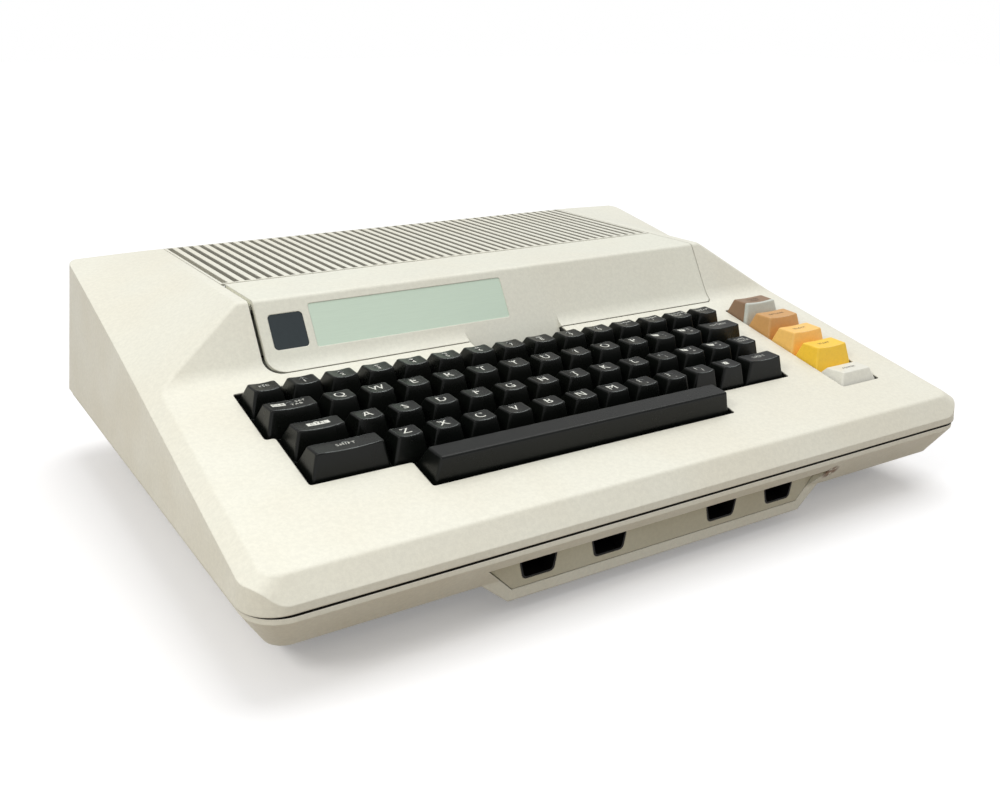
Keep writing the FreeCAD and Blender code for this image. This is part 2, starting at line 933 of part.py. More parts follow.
def leaning_edges(cap):
    """The four edges that rise from the corners of a cap's foot."""
    found = []
    for edge in cap.Edges:
        heights = [vertex.Point.z for vertex in edge.Vertexes]
        if max(heights) - min(heights) > key_sink:
            found.append(edge)
    return found


def cap_shell(width, depth, top, drop, front_inset, back_inset, lean_share, crown_radius, dished):
    """A hollow key cap with rounded edges, its top dished from side to side where asked."""
    cap = cap_block(width, depth, top, drop, front_inset, back_inset, lean_share, 0)
    cap = cap.makeFillet(key_edge_radius, leaning_edges(cap))
    crown = []
    crown_floor = min(top, top - drop) - tiny
    for edge in cap.Edges:
        if all(vertex.Point.z > crown_floor for vertex in edge.Vertexes):
            crown.append(edge)
    cap = cap.makeFillet(crown_radius, crown).Solids[0]
    if dished:
        half = width / 2 - key_gap / 2 - lean_share * (top + key_sink) - crown_radius
        radius = (half * half + dish_depth * dish_depth) / (dish_depth * 2)
        along = point(0, depth - front_inset - back_inset, -drop).normalize()
        out = point(0, -along.z, along.y)
        start = point(width / 2, front_inset, top) + out * (radius - dish_depth) - along * depth
        cap = cap.cut(rod(radius, start, along * (depth * 3)))
    hollow = cap_block(width, depth, top, drop, front_inset, back_inset, lean_share, key_wall)
    return cap.cut(hollow)


def stem(x, v, top, drop):
    foot = -switch_top - stem_bite
    ceiling = top - drop / 2 - dish_depth - tiny
    return rod(stem_radius, point(x, v, foot), point(0, 0, ceiling - foot))


switch_places = []
cap_forms = {}


def key(left, row, width_share):
    """One key of the main block, made once for each width and row and then copied."""
    width = key_pitch * width_share
    top = row_top_heights[row]
    if (width, row) not in cap_forms:
        shell = cap_shell(
            width, key_pitch, top, key_back_drop, key_front_inset, key_back_inset,
            key_side_slope_share, key_crown_radius, True,
        )
        cap_forms[(width, row)] = joined([shell, stem(width / 2, key_pitch / 2, top, key_back_drop)])
    x = keyboard_left + key_pitch * left
    v = keyboard_front + key_pitch * row
    switch_places.append((x + width / 2, v + key_pitch / 2))
    return on_deck(placed(cap_forms[(width, row)], FreeCAD.Placement(point(x, v, 0), FreeCAD.Rotation())))


def key_run(first, row, count):
    return [key(first + index, row, 1) for index in range(count)]


shift_row, home_row, upper_row, number_row = range(len(row_top_heights))
start = row_shifts_share[shift_row]
save("key_shift_left", [key(start, shift_row, 2)])
save("keys_lower_row", key_run(start + 2, shift_row, 11))
save("key_shift_right", [key(start + 13, shift_row, 1.5)])
save("key_control", [key(start, home_row, 1.5)])
save("keys_home_row", key_run(start + 1.5, home_row, 12))
save("key_caps", [key(start + 13.5, home_row, 1)])
save("key_tab", [key(0, upper_row, 1.5)])
save("keys_upper_row", key_run(1.5, upper_row, 12))
save("key_return", [key(13.5, upper_row, 1.5)])
save("key_escape", [key(0, number_row, 1)])
save("keys_number_row", key_run(1, number_row, 12))
save("key_backspace", [key(13, number_row, 1)])
save("key_break", [key(14, number_row, 1)])

space_width = key_pitch * space_width_share
space_middle = space_left + space_width / 2
space_parts = [cap_shell(
    space_width, key_pitch, space_top_height, space_back_drop, space_front_inset, space_back_inset,
    key_side_slope_share, space_crown_radius, False,
)]
space_stem_spacing = key_pitch * space_stem_share
for shift in (-space_stem_spacing, 0, space_stem_spacing):
    space_parts.append(stem(
        space_width / 2 + shift, key_pitch / 2, space_top_height, space_back_drop
    ))
    switch_places.append((space_middle + shift, space_front + key_pitch / 2))
space_frame = FreeCAD.Placement(point(space_left, space_front, 0), FreeCAD.Rotation())
save("space_bar", [on_deck(placed(joined(space_parts), space_frame))])


# Console keys and power lamp
def console_frame(index):
    return FreeCAD.Placement(
        point(console_left, console_front + console_pitch * index, 0), FreeCAD.Rotation()
    )


console_shell = cap_shell(
    console_width, console_pitch, console_top_height, console_back_drop,
    console_front_inset, console_back_inset, console_side_slope_share, console_crown_radius, True,
)
console_key = joined([console_shell, stem(
    console_width / 2, console_pitch / 2, console_top_height, console_back_drop
)])
for index, name in ((1, "console_key_yellow"), (2, "console_key_amber"), (3, "console_key_orange")):
    save(name, [on_deck(placed(console_key, console_frame(index)))])
for index in range(1, 1 + len(row_top_heights)):
    switch_places.append((
        console_left + console_width / 2, console_front + console_pitch * (index + 1 / 2)
    ))
face_foot = key_gap / 2 + reset_face_thickness
face_top = console_front_inset + reset_face_thickness
face_region = side_prism(
    [
        (-console_pitch, -key_sink - tiny), (-console_pitch, console_pitch),
        (face_top, console_pitch), (face_top, console_top_height), (face_foot, -key_sink - tiny),
    ],
    [0] * 5, -console_width, console_width * 2,
)
save("reset_key", [on_deck(placed(console_key.cut(face_region), console_frame(4)))])
save("reset_key_front", [on_deck(placed(console_key.common(face_region), console_frame(4)))])
lamp = cap_block(
    console_width, console_pitch, lamp_top_height, lamp_back_drop, lamp_front_inset, lamp_back_inset,
    lamp_side_slope_share, 0,
)
lamp = lamp.makeFillet(key_edge_radius, leaning_edges(lamp)).Solids[0]
lamp = lamp.makeFillet(key_crown_radius, [
    edge for edge in lamp.Edges if all(vertex.Point.z > -key_sink + tiny for vertex in edge.Vertexes)
])
lamp_edge = key_gap / 2
lamp_foot = plate(
    lamp_edge, console_width - lamp_edge, lamp_edge, console_pitch - lamp_edge, -lamp_sink, -key_sink,
    key_edge_radius,
)
save("power_lamp", [on_deck(placed(joined([lamp, lamp_foot]), console_frame(0)))])

# Key plate, switches and key board under the deck
plate_floor = -plate_top - key_plate_thickness
board_top = plate_floor - board_gap
half_switch = switch_size / 2
switches = []
plate_holes = []
for x, v in switch_places:
    housing = box(
        x - half_switch, x + half_switch, v - half_switch, v + half_switch, board_top, -switch_top
    )
    hole = rod(
        stem_radius + stem_clearance, point(x, v, board_top + switch_floor),
        point(0, 0, -switch_top - board_top),
    )
    switches.append(on_deck(housing.cut(hole)))
    half = half_switch + plate_hole_gap
    plate_holes.append(box(x - half, x + half, v - half, v + half, plate_floor - wall, wall - plate_top))
for x, v in hangers:
    plate_holes.append(rod(
        hanger_screw_radius + screw_hole_clearance, point(x, v, plate_floor - tiny), point(0, 0, wall)
    ))
save("key_switches", switches)
key_plate = box(
    plate_left_edge, plate_right_edge, plate_front_edge, plate_rear_edge, plate_floor, -plate_top
)
save("key_plate", [on_deck(key_plate.cut(plate_holes))])
key_board = box(
    plate_left_edge + board_margin, plate_right_edge - board_margin, plate_front_edge + board_margin,
    plate_rear_edge, board_top - board_thickness, board_top,
)
save("key_board", [on_deck(key_board)])
plate_screws = []
for x, v in hangers:
    head_foot = point(x, v, plate_floor - screw_head_height)
    head = rod(screw_head_radius, head_foot, point(0, 0, screw_head_height))
    shank = rod(
        hanger_screw_radius, point(x, v, plate_floor - tiny),
        point(0, 0, key_plate_thickness + hanger_screw_bite),
    )
    plate_screws.append(on_deck(joined([head, shank])))
save("plate_screws", plate_screws)


# Bottom case
lip_face = front + lip_front_inset
panel_back = lip_face + panel_thickness
side_x = half_width - lip_side_inset
side_start = front + side_front
side_end = side_start + side_length
side_inner = side_x - wall
bulge_back = lip_face + bulge_depth
rim_half = half_width - rim_side_inset


def lower_levels(inset):
    """Plan outlines of the lower case from the base up, taken inwards by the wall."""
    floor = base_height + (wall if inset > 0 else 0)
    top = parting_height + (wall if inset > 0 else 0)
    slack = inset * lower_wall_share
    return [
        plan_wire(
            half_width - base_side_inset - slack, front + base_front_inset + slack,
            rear - base_rear_inset - slack, base_corner_radius, base_corner_radius, floor,
        ),
        plan_wire(
            half_width - lip_side_inset - slack, front + lip_front_inset + slack,
            rear - lip_rear_inset - slack, lip_corner_radius, lip_corner_radius, lip_height,
        ),
        plan_wire(
            rim_half - inset, front + inset, rear - inset,
            corner_radius - inset, rear_corner_radius - inset, parting_height - rim_height,
        ),
        plan_wire(
            rim_half - inset, front + inset, rear - inset,
            corner_radius - inset, rear_corner_radius - inset, top,
        ),
    ]


def lower_form(inset):
    levels = lower_levels(inset)
    return joined([Part.makeLoft(list(pair), True, True) for pair in zip(levels, levels[1:])])


def bulge_outline(inset):
    return inset_outline([
        (-bulge_top_half, panel_top_height), (bulge_top_half, panel_top_height),
        (bulge_top_half, bulge_shoulder_height), (bulge_foot_half, bulge_foot_height),
        (-bulge_foot_half, bulge_foot_height), (-bulge_top_half, bulge_shoulder_height),
    ], inset)


def panel_outline(inset):
    return inset_outline([
        (-panel_top_half, panel_top_height), (panel_top_half, panel_top_height),
        (panel_foot_half, panel_foot_height), (-panel_foot_half, panel_foot_height),
    ], inset)


def front_block(outline, y0, y1):
    return front_prism(outline, plain(outline), y0, y1)


front_recess = front_block(panel_outline(0), front - wall, panel_back)
front_keep = front_block(panel_outline(-wall), front - wall, panel_back)
side_recess = box(side_x, half_width + wall, side_start, side_end, side_foot_height, side_top_height)
side_keep = box(
    side_inner, half_width + wall, side_start - wall, side_end + wall, 0, side_top_height + wall
)
side_hollow = box(
    side_x - side_depth, side_inner, side_start + wall, side_end - wall,
    side_foot_height + wall, side_top_height,
)
shell_outside = joined([
    lower_form(0), front_block(bulge_outline(0), lip_face, bulge_back),
    box(side_x - side_depth, side_x, side_start, side_end, side_foot_height, side_top_height),
]).cut([front_recess, side_recess])
shell_inside = joined([
    lower_form(wall).cut([front_keep, side_keep]),
    front_block(panel_outline(panel_ledge), panel_back - tiny, bulge_back - wall), side_hollow,
])
parting_groove = box(
    -half_width, half_width, front - wall, rear + wall, parting_height - groove_height, parting_height + wall
).cut(Part.Face(plan_wire(
    rim_half - groove_side_depth, front + groove_depth, rear - groove_depth, corner_radius - groove_depth,
    rear_corner_radius - groove_depth, parting_height - groove_height,
)).extrude(point(0, 0, rim_height * 2)))
bottom_case = shell_outside.cut([shell_inside, parting_groove])
inner_floor = base_height + wall


def floor_post(x, y, top):
    return rod(post_radius, point(x, y, base_height + wall / 2), point(0, 0, top - base_height - wall / 2))


board_front = front + main_board_front
board_rear = rear - main_board_rear_margin
main_board_half_width = half_width * main_board_half_share
power_board_left = power_board_inset - half_width
power_board_length = rear - power_board_rear_margin - board_front
power_right = power_board_left + half_width * power_board_width_share
power_rear = board_front + power_board_length
well_y = front + well_front
well_rear = well_y + well_length
well_half_width = half_width * well_half_share
speaker_x = speaker_inset - half_width
speaker_y = front + speaker_offset
posts = []
for offset in screw_offsets:
    for side in (-1, 1):
        foot = point(side * screw_x, front + offset, base_height)
        posts.append(rod(screw_post_radius, foot, point(0, 0, parting_height - base_height)))
for side in (-1, 1):
    x = side * (main_board_half_width - board_post_inset)
    for y in (board_front + board_post_inset, board_rear - board_post_inset):
        posts.append(floor_post(x, y, main_board_height))
    x = side * (well_half_width - board_post_inset)
    for y in (well_y + board_post_inset, well_rear - board_post_inset * 2):
        posts.append(floor_post(x, y, well_floor_height))
for x in (power_board_left + board_post_inset, power_right - board_post_inset):
    for y in (board_front + board_post_inset, power_rear - board_post_inset):
        posts.append(floor_post(x, y, power_board_height))

gland_level = (gland_height - lip_height) / (parting_height - rim_height - lip_height)
gland_face = rear - lip_rear_inset * (1 - gland_level)
holes = []
screw_head_top = base_height + screw_sink
for offset in screw_offsets:
    for side in (-1, 1):
        foot = point(side * screw_x, front + offset, 0)
        holes.append(rod(screw_gap, foot, point(0, 0, parting_height + wall)))
        holes.append(rod(case_screw_head_radius + screw_hole_clearance, foot, point(0, 0, screw_head_top)))
feet_spots = []
foot_x = half_width - foot_side_inset
for y in (front + foot_front, rear - foot_rear_margin):
    for side in (-1, 1):
        feet_spots.append(point(side * foot_x, y, 0))
for spot in feet_spots:
    holes.append(rod(foot_radius, spot, point(0, 0, base_height + foot_seat)))
gland_inner = point(gland_x, gland_face - gland_length, gland_height)
holes.append(rod(gland_radius + gland_clearance, gland_inner, point(0, gland_length * 2, 0)))
for ring in (1, 2):
    ring_radius = speaker_magnet_radius * ring / 2
    ring_count = 6 * ring
    for index in range(ring_count):
        angle = 2 * math.pi * index / ring_count
        spot = point(
            speaker_x + ring_radius * math.cos(angle), speaker_y + ring_radius * math.sin(angle), 0
        )
        holes.append(rod(speaker_hole_radius, spot, point(0, 0, inner_floor + wall)))


def side_spot(position):
    return point(side_inner, side_start + position, side_centre_height)


peripheral_y = side_spot(peripheral_position).y
monitor_spot = side_spot(monitor_position)
jack_spot = side_spot(jack_position)


def side_box(x0, x1, middle_y, length, height):
    return box(
        x0, x1, middle_y - length / 2, middle_y + length / 2,
        side_centre_height - height / 2, side_centre_height + height / 2,
    )


holes.append(side_box(
    side_inner - wall, side_x + wall, peripheral_y, peripheral_length, peripheral_height
))
holes.append(rod(monitor_radius, monitor_spot, point(wall * 2, 0, 0)))
holes.append(rod(jack_radius, jack_spot, point(wall * 2, 0, 0)))
lever_slots = (
    ("channel_switch", side_spot(channel_position).y, channel_slot, channel_slot_height, channel_travel),
    ("power_switch", side_spot(power_position).y, power_slot, power_slot_height, power_travel),
)
for name, middle_y, slot, height, travel in lever_slots:
    holes.append(side_box(side_inner - wall, side_x + wall, middle_y, slot, height))
save("bottom_case", [joined([bottom_case] + posts).cut(holes)])

# Port panel and the four controller ports
port_places = [-port_outer_spacing, -port_inner_spacing, port_inner_spacing, port_outer_spacing]


def port_outline(middle_x, grown):
    top = port_centre_height + port_height / 2 + grown
    foot = port_centre_height - port_height / 2 - grown
    half_top = port_width / 2 + grown
    half_foot = half_top - port_height * port_side_share
    return [
        (middle_x - half_top, top), (middle_x + half_top, top),
        (middle_x + half_foot, foot), (middle_x - half_foot, foot),
    ]


def port_form(middle_x, grown, y0, y1):
    radius = max(port_corner_radius + grown, port_shell)
    return front_prism(port_outline(middle_x, grown), [radius] * 4, y0, y1)


panel = front_block(panel_outline(panel_gap), lip_face, panel_back)
panel = panel.cut([port_form(x, 0, lip_face - wall, panel_back + wall) for x in port_places])
save("port_panel", [panel])
ports = []
port_rear = lip_face + port_depth
for middle_x in port_places:
    shell = port_form(middle_x, 0, lip_face, port_rear)
    flange = port_form(middle_x, port_flange, panel_back, panel_back + port_flange)
    hollow = port_form(middle_x, -port_shell, lip_face - wall, port_rear - port_back)
    port = joined([shell, flange]).cut(hollow)
    rise = port_pin_pitch / 2
    port_pins = []
    for count, height in ((port_upper_pins, rise), (port_lower_pins, -rise)):
        for index in range(count):
            x = middle_x + (index - (count - 1) / 2) * port_pin_pitch
            foot = point(x, port_rear - port_back + tiny, port_centre_height + height)
            port_pins.append(rod(port_pin_radius, foot, point(0, -port_pin_length, 0)))
    ports.append(joined([port] + port_pins))
save("controller_ports", ports)

# Sockets of the right side
shell = side_box(side_x - peripheral_depth, side_x, peripheral_y, peripheral_length, peripheral_height)
flange = side_box(
    side_inner - collar_thickness, side_inner, peripheral_y,
    peripheral_length + collar * 2, peripheral_height + collar * 2,
)
hollow = side_box(
    side_x - peripheral_depth + peripheral_shell, side_x + wall, peripheral_y,
    peripheral_length - peripheral_shell * 2, peripheral_height - peripheral_shell * 2,
)
peripheral = joined([shell, flange]).cut(hollow)
peripheral_pins = []
pin_foot = side_x - peripheral_depth + peripheral_shell - tiny
for fewer, rise in ((0, peripheral_pin_rise), (1, -peripheral_pin_rise)):
    count = peripheral_pin_count - fewer
    for index in range(count):
        y = peripheral_y + (index - (count - 1) / 2) * peripheral_pin_pitch
        foot = point(pin_foot, y, side_centre_height + rise)
        peripheral_pins.append(rod(peripheral_pin_radius, foot, point(peripheral_pin_length, 0, 0)))
save("peripheral_connector", [joined([peripheral] + peripheral_pins)])


def round_socket(spot, radius, depth, bore, bore_depth):
    """A round socket through the side panel, with a collar behind the panel."""
    mouth = point(side_x, spot.y, spot.z)
    body = rod(radius, mouth, point(-depth, 0, 0))
    ring = rod(radius + collar, point(side_inner, spot.y, spot.z), point(-collar_thickness, 0, 0))
    return joined([body, ring]).cut(rod(bore, mouth, point(-bore_depth, 0, 0)))


save("monitor_socket", [round_socket(
    monitor_spot, monitor_radius, monitor_depth, monitor_bore_radius, monitor_bore_depth
)])
jack_foot = point(side_x - jack_bore_depth - tiny, jack_spot.y, jack_spot.z)
save("power_jack", [joined([
    round_socket(jack_spot, jack_radius, jack_depth, jack_bore_radius, jack_bore_depth),
    rod(jack_pin_radius, jack_foot, point(jack_bore_depth - collar, 0, 0)),
])])

# Slide switches of the right side
for name, middle_y, slot, height, travel in lever_slots:
    lever_length = slot - travel - lever_clearance * 2
    lever_height = height - lever_clearance * 2
    rest_y = middle_y - travel / 2
    lever = side_box(side_inner - lever_foot, side_x + lever_reach, rest_y, lever_length, lever_height)
    save(name + "_lever", [lever])
    body = side_box(
        side_inner - switch_body_depth, side_inner, middle_y,
        slot + switch_margin * 2, height + switch_margin * 2,
    )
    pocket = side_box(
        side_inner - lever_foot - lever_clearance, side_inner + wall, middle_y, slot, height
    )
    save(name + "_housing", [body.cut(pocket)])

# Lead gland, feet and case screws
gland_start = point(gland_x, gland_face + gland_reach, gland_height)
gland_end = point(gland_x, gland_start.y - gland_length, gland_height)
gland = joined([
    rod(gland_radius, gland_start, point(0, -gland_length, 0)),
    rod(gland_nut_radius, gland_end, point(0, gland_nut_length, 0)),
])
gland = gland.cut(rod(gland_bore_radius, gland_start, point(0, -gland_length * 2, 0)))
save("cable_gland", [gland])
feet = []
for spot in feet_spots:
    foot = rod(foot_radius, spot, point(0, 0, base_height + foot_seat))
    lowest = [edge for edge in foot.Edges if all(abs(vertex.Point.z) < tiny for vertex in edge.Vertexes)]
    feet.append(foot.makeFillet(foot_edge_radius, lowest))
save("rubber_feet", feet)
case_screws = []
for offset in screw_offsets:
    for side in (-1, 1):
        x = side * screw_x
        y = front + offset
        head_height = screw_sink - screw_slot
        head = rod(
            case_screw_head_radius, point(x, y, screw_head_top - head_height), point(0, 0, head_height)
        )
        shank = rod(
            screw_radius, point(x, y, screw_head_top - tiny),
            point(0, 0, parting_height + screw_bite - screw_head_top),
        )
        slot = box(
            x - case_screw_head_radius, x + case_screw_head_radius, y - screw_slot / 2, y + screw_slot / 2,
            base_height, base_height + screw_slot * 2,
        )
        case_screws.append(joined([head, shank]).cut(slot))
save("case_screws", case_screws)

# Cartridge well of five plates, and its sockets
well_side = well_half_width + well_wall
well_bed = well_floor_height + well_wall
well_limit = upper_form(wall + well_gap)
well_plates = [
    box(-well_side, well_side, well_y - well_wall, well_rear + well_wall, well_floor_height, well_bed),
    box(-well_side, well_side, well_y - well_wall, well_y, well_bed, case_height),
    box(-well_side, well_side, well_rear, well_rear + well_wall, well_bed, case_height),
    box(-well_side, -well_half_width, well_y, well_rear, well_bed, case_height),
    box(well_half_width, well_side, well_y, well_rear, well_bed, case_height),
]
save("cartridge_well", [plate.common(well_limit).Solids[0] for plate in well_plates])
slot_y = (well_y + well_rear) / 2
slot_spacing = half_width * slot_spacing_share
slot_length = half_width * slot_length_share
blocks = []
for side in (-1, 1):
    x = side * slot_spacing
    half = slot_length / 2
    block = box(
        x - half, x + half, slot_y - slot_thickness / 2, slot_y + slot_thickness / 2,
        well_bed, well_bed + slot_block_height,
    )
    groove_half = half - slot_groove_margin
    groove = box(
        x - groove_half, x + groove_half, slot_y - slot_groove / 2, slot_y + slot_groove / 2,
        well_bed + slot_block_height - slot_groove_depth, well_bed + slot_block_height + wall,
    )
    blocks.append(block.cut(groove))
save("cartridge_sockets", blocks)

# Door interlock
interlock_x = half_width * interlock_share
interlock_y = crease + interlock_setback
interlock_height = case_height - interlock_drop
switch_left = well_side
switch_reach = interlock_x + interlock_half
body = box(
    switch_left, switch_reach, interlock_y - interlock_half, interlock_y + interlock_half,
    interlock_height, interlock_height + interlock_depth,
)
bore_start = point(interlock_x, interlock_y, interlock_height - wall)
save("interlock_switch", [body.cut(rod(
    interlock_radius + interlock_clearance, bore_start, point(0, 0, interlock_depth + wall * 2)
))])
plunger_foot = interlock_height + interlock_foot
save("interlock_plunger", [rod(
    interlock_radius, point(interlock_x, interlock_y, plunger_foot),
    point(0, 0, roof - interlock_gap - plunger_foot),
)])

# Main board, modules, shield and processor board
board_bed = main_board_height + board_thickness
main_board = box(
    -main_board_half_width, main_board_half_width, board_front, board_rear, main_board_height, board_bed
)
save("main_board", [main_board])
first_y = front + module_front
module_pitch = (board_rear - first_y) / module_count
module_thickness = module_pitch - module_gap
module_half_width = half_width * module_half_share
module_top = case_height - module_drop
socket_thickness = module_thickness * socket_thickness_share
modules = []
sockets = []
for index in range(module_count):
    y = first_y + module_pitch * index
    modules.append(box(
        -module_half_width, module_half_width, y, y + module_thickness,
        board_bed + socket_height, module_top,
    ))
    middle = y + module_thickness / 2
    sockets.append(box(
        -module_half_width + socket_inset, module_half_width - socket_inset,
        middle - socket_thickness / 2, middle + socket_thickness / 2, board_bed, board_bed + socket_height,
    ))
save("memory_modules", modules)
save("memory_sockets", sockets)
shield_front = first_y - shield_gap
shield_rear = first_y + module_pitch * (module_count - 1) + module_thickness + shield_gap
shield_half_width = half_width * shield_half_share
shield_top = case_height - shield_drop
shield = box(-shield_half_width, shield_half_width, shield_front, shield_rear, board_bed, shield_top)
shield_hollow = box(
    -shield_half_width + shield_thickness, shield_half_width - shield_thickness,
    shield_front + shield_thickness, shield_rear - shield_thickness, board_bed - wall, shield_top + wall,
)
save("cast_shield", [shield.cut(shield_hollow)])
processor_board_x = half_width * processor_board_share
processor_length = board_rear - board_post_inset - first_y
processor_board = box(
    processor_board_x, processor_board_x + board_thickness, first_y, first_y + processor_length,
    board_bed, board_bed + processor_board_height,
)
save("processor_board", [processor_board])
chip_x = processor_board_x + board_thickness
chips = []
for index in range(2):
    z = board_bed + chip_gap + index * (chip_width + chip_gap)
    y = first_y + processor_length * chip_start_share
    chip_end = y + processor_length * chip_length_share
    chips.append(box(chip_x, chip_x + chip_height, y, chip_end, z, z + chip_width))
save("chips", chips)

# Power board with its capacitors and heat sink
power_bed = power_board_height + board_thickness
save("power_board", [box(
    power_board_left, power_right, board_front, power_rear, power_board_height, power_bed
)])
capacitors = []
capacitor_radius = power_board_length * capacitor_radius_share
capacitor_spacing = power_board_length / 2 - capacitor_radius - board_thickness
for index in range(3):
    foot = point(
        power_board_left + capacitor_radius + board_thickness,
        board_front + capacitor_radius + board_thickness + capacitor_spacing * index, power_bed,
    )
    capacitors.append(rod(capacitor_radius, foot, point(0, 0, capacitor_height)))
save("filter_capacitors", capacitors)
sink_left = power_right - heat_sink_width - board_thickness
sink_parts = [box(
    sink_left, sink_left + heat_sink_fin, board_front + board_thickness, power_rear - board_thickness,
    power_bed, power_bed + heat_sink_height,
)]
fin_pitch = (power_board_length - board_thickness * 2 - heat_sink_fin) / (heat_sink_fins - 1)
for index in range(heat_sink_fins):
    y = board_front + board_thickness + fin_pitch * index
    sink_parts.append(box(
        sink_left, sink_left + heat_sink_width, y, y + heat_sink_fin,
        power_bed, power_bed + heat_sink_height,
    ))
save("heat_sink", [joined(sink_parts)])

# Loudspeaker on the floor
speaker_spot = point(speaker_x, speaker_y, inner_floor)
save("loudspeaker", [joined([
    rod(speaker_radius, speaker_spot, point(0, 0, speaker_rim)),
    rod(speaker_magnet_radius, speaker_spot, point(0, 0, speaker_height)),
])])
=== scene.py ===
import json
import math

import bmesh
import bpy
from mathutils import Matrix, Vector
from mathutils.bvhtree import BVHTree


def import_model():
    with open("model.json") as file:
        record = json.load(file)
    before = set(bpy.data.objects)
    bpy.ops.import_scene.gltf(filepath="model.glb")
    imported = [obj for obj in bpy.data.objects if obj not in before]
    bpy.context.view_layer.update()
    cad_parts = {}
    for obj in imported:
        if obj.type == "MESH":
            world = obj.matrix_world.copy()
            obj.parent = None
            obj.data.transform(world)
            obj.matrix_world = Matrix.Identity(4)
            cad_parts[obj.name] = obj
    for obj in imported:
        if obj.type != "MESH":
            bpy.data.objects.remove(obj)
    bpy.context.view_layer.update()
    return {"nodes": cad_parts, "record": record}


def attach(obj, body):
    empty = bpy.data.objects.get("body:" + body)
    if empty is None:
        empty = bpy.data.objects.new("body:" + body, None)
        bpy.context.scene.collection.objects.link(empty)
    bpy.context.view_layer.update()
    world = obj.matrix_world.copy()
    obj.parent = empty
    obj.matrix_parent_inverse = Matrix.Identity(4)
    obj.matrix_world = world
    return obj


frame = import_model()
nodes = frame["nodes"]
MM = 0.001

# Directions and places on the case, in metres
DECK_NORMAL = Vector((0, -0.21784, 0.97598)).normalized()
DECK_LEVEL = DECK_NORMAL.dot(Vector((0, -0.1482, 0.0521)))
ACROSS = Vector((1, 0, 0))
DECK_UP = DECK_NORMAL.cross(ACROSS)
OPENINGS = (-0.19, 0.19, -0.14, -0.0112)
OPENING_DEPTHS = (0.0004, 0.0012, 0.012)
GROOVE = (0.0373, 0.03842)
LOUVRES = (0.09, 0.1137)
LID_REAR = 0.1512
STAIN = (0.104, -0.149, 0.028)
STAIN_REACH = (0.0065, 0.003)
PANEL_WORDS = Vector((0, -0.1442, 0.0264))

# Colours of painted shade and of a stain, as seen on the screen
OPENING_PAINTED_SHADE = (22, 22, 21)
GROOVE_PAINTED_SHADE = (40, 34, 28)
STAIN_COLOUR = (112, 76, 36)
LOUVRE_PAINTED_SHADE = (170, 168, 157)


# Material helpers
def linear(colour):
    """A colour seen on the screen, 0 to 255, as the light that a surface sends back."""
    made = []
    for value in colour:
        share = value / 255
        made.append(share / 12.92 if share <= 0.04045 else ((share + 0.055) / 1.055) ** 2.4)
    return (made[0], made[1], made[2], 1)


